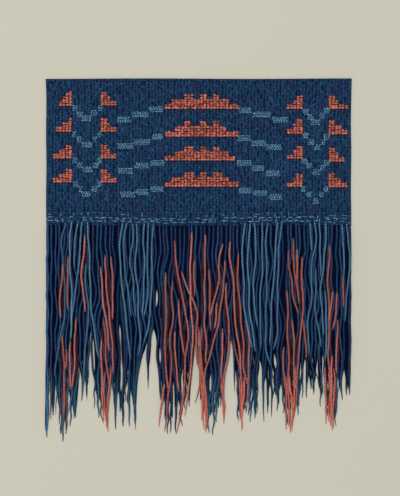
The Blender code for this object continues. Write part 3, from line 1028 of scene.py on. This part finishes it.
# Coral yarns, told in the same way
CORAL_YARNS = (
    (7, 79, (-104, -105, -107, -105.5, -103)),
    (27, 77, (-119.5, -120, -119.5)),
    (32, 86, (-125, -125, -127, -126.5)),
    (37, 115, (-90, -88.5, -86.5, -83, -82)),
    (27, 135, (-85.5, -85, -83, -80.5, -78.5, -78.5)),
    (27, 86, (-80.5, -79, -78.5, -79.5)),
    (98, 192, (-125, -124, -123, -123, -123.5, -124.5)),
    (112, 133, (-122, -121, -122.5)),
    (104, 149, (-117, -118, -117)),
    (83, 149, (-112, -113, -113.5, -114, -117)),
    (85, 189, (-87.5, -85.5, -84.5, -82, -83.5, -83.5)),
    (102, 181, (-89.5, -89, -88.5, -88, -87.5)),
    (130, 185, (-79.5, -81.5, -83.5, -84.5)),
    (134, 180, (-86, -86.5, -86, -85.5)),
    (42, 152, (-30.5, -30, -30, -30.5, -30, -26)),
    (143, 185, (-30, -32.5, -35, -36)),
    (49, 189, (-24, -24.5, -23.5, -26.5, -24.5, -27, -29, -31)),
    (95, 152, (-22, -21.5, -20, -17)),
    (67, 120, (-18, -18, -15, -12.5)),
    (13, 189, (-22.5, -21, -17, -13, -9, -12.5, -12.5, -16, -19.5)),
    (41, 190, (-17, -10, -1, -2.5, -0.5, 5.5, 6.5, 6.5)),
    (138, 187, (5, 6, 8, 7.5)),
    (140, 176, (1.5, 4, 5, 3.5)),
    (4, 175, (-5.5, -7, -7.5, -7.5, -6, -5.5, -7.5, -9.5, -13)),
    (30, 63, (-4, -4, -3.5)),
    (92, 163, (3, 2, 1.5, 1.5, -3.5)),
    (94, 187, (0.2, 1.4, 4.2, 3.8, 5)),
    (112, 178, (-0.8, 1.2, 3.2, 2.6)),
    (6, 128, (5.5, 6, 5.5, 5.5, 5.5, 7, 6.5)),
    (39, 96, (9, 10, 10.5, 11)),
    (16, 84, (23.5, 19, 18.5, 13.5, 10)),
    (30, 175, (24, 23.5, 21, 18, 12.5, 6.5, 4, 3.5)),
    (68, 96, (17.5, 16, 13.5)),
    (52, 182, (25.5, 25.5, 27.5, 27.5, 23, 22.5, 23)),
    (94, 160, (22.5, 21.5, 21, 22.5)),
    (142, 178, (20.5, 21.5, 23.5, 23.5)),
    (13, 188, (29.5, 28.5, 32.5, 32.5, 35, 38, 39, 39.5, 39.5)),
    (24, 149, (37, 35.5, 37, 39, 41, 41.5, 47.5)),
    (103, 150, (31, 34.5, 38.5, 42)),
    (138, 186, (42, 41.5, 40, 40.5)),
    (140, 178, (36.5, 37.5, 38.5, 38)),
    (85, 170, (41.5, 46, 46, 45, 44.5)),
    (20, 81, (82, 82.5, 85, 87.5, 93.5)),
    (11, 72, (87, 86.5, 88, 90.5, 92.5)),
    (20, 52, (90.5, 90, 91)),
    (28, 178, (94.5, 94.5, 95.5, 94.5, 92, 90.5, 89.5, 87)),
    (57, 190, (80, 81.5, 81.5, 82.5, 82, 83, 84.5)),
    (138, 187, (80, 80, 80.5, 80.5)),
    (140, 179, (88, 88, 86.5, 86)),
    (135, 186, (82.5, 84, 86.5, 86)),
    (128, 189, (88.5, 88, 87, 85.5)),
    (140, 184, (83.5, 82.5, 83, 82.5)),
    (111, 149, (78.5, 77.5, 80)),
    (85, 150, (85, 87, 87.5, 88)),
    (86, 122, (95.5, 97, 98.5, 98)),
    (16, 180, (119.5, 119.5, 118, 119.5, 119.5, 118.5, 120.5, 120, 119.5)),
    (58, 90, (123, 122, 120.5, 120)),
    (60, 96, (126, 126, 121)),
    (86, 135, (127.5, 127.5, 126, 126, 127)),
    (45, 75, (132, 132.5, 132.5)),
    (117, 188, (123, 121.5, 121.5, 122, 122.5)),
    (128, 182, (114.5, 116, 117, 116.5)),
    (130, 173, (124, 124.5, 125, 126)),
    (132, 184, (119, 120, 121.5, 121)),
    (136, 186, (125.5, 124, 123.5, 123.5)),
)


def coloured_yarns(rows, thick, step, seed, over=COLOURED_LEVEL, keeps_apart=False):
    """Yarns from a table, each over the navy ones where it shows and under them at its hidden ends."""
    dice = random.Random(seed)
    yarns = []
    for first_mm, last_mm, places in rows:
        first = first_mm * MM - HIDDEN_END
        come_up = COME_UP
        if first_mm <= FROM_HEADING:
            first = -root_reach(places[0] * MM) - dice.uniform(*TUCKED_UP)
            come_up = HEADING_COME_UP
        last = last_mm * MM + (0.0 if last_mm > TIP_DEPTH else HIDDEN_END)
        down = np.linspace(first, last, round((last - first) / step))
        x = through(places, (down - first) / (last - first)) * MM + COLOURED_KINKS * kinked(dice, down)
        rise = eased((down - first) / come_up)
        radius = thick * (THIN_END + (1 - THIN_END) * rise)
        if last_mm > TIP_DEPTH:
            radius = radius * taper(down, last)
            level = over * eased((last - down) / SETTLE_LENGTH)
        else:
            leave = eased((last - down) / COME_UP)
            radius = radius * (THIN_END + (1 - THIN_END) * leave)
            level = over * (END_LEVEL + (1 - END_LEVEL) * leave)
        if keeps_apart:
            x = parted(x, down, radius)
        z = radius + level * (START_LEVEL + (1 - START_LEVEL) * rise)
        line = np.stack((x, HEADING_FOOT - down, z), axis=1)
        yarns.append((line, radius, shade_near(dice, *COLOURED_SHADE), dice.uniform(*TURNS)))
    return yarns


# Lower coral yarns in painted shade, one beside each long one that starts high enough (all in mm), and two
# # more at the left
LONG_YARN = 40
DEEP_START = 120
DEEP_ASIDE = (1.6, 2.8)
DEEP_LATER = (6, 16)
DEEP_SHORTER = (4, 14)
DEEP_FOOT = 160.0

dice = random.Random(9)
deep_rows = []
for first, last, places in CORAL_YARNS:
    if last - first > LONG_YARN and first < DEEP_START:
        aside = dice.choice((-1, 1)) * dice.uniform(*DEEP_ASIDE)
        ends = first + dice.uniform(*DEEP_LATER), min(last - dice.uniform(*DEEP_SHORTER), DEEP_FOOT)
        deep_rows.append((*ends, tuple(place + aside for place in places)))
deep_rows.append((146, 197, (-125.5, -125, -124.6)))
deep_rows.append((138, 190, (-121.5, -121.8, -121.2)))

# The first colour of each is the painted shade on the yarns' sides and in the valleys between their plies
sky_colours = (dye(14, 44, 74), dye(108, 158, 182), dye(96, 135, 172), (0.72, 1.0))
coral_colours = (dye(52, 18, 26), dye(180, 110, 106), dye(166, 100, 86), (0.5, 0.95))
coral_painted_shade_colours = (dye(18, 10, 20), dye(68, 34, 38), dye(50, 32, 38), (0.5, 1.0))
sky_wool = wool("fringe_sky", *sky_colours, tips=(dye(30, 66, 92), dye(110, 150, 168)))
coral_wool = wool("fringe_coral", *coral_colours, tips=(dye(146, 52, 44), dye(214, 112, 94)))
coral_painted_shade_wool = wool("fringe_coral_painted_shade", *coral_painted_shade_colours, tips=(dye(32, 20, 28), dye(104, 56, 54)))
sky_layer = coloured_yarns(SKY_YARNS, SKY_RADIUS, SKY_STEP, seed=4)
coral_layer = coloured_yarns(CORAL_YARNS, CORAL_RADIUS, CORAL_STEP, seed=6)
deep_layer = coloured_yarns(deep_rows, DEEP_RADIUS, DEEP_STEP, seed=7, over=DEEP_LEVEL, keeps_apart=True)
sky_fringe = spin("sky_yarns", sky_layer, 2, SMOOTH_SIDES, SKY_TWIST, sky_wool)
coral_fringe = spin("coral_yarns", coral_layer, 3, PLY_SIDES, CORAL_TWIST, coral_wool)
deep_fringe = spin("coral_yarns_under", deep_layer, 1, SMOOTH_SIDES, CORAL_TWIST, coral_painted_shade_wool)
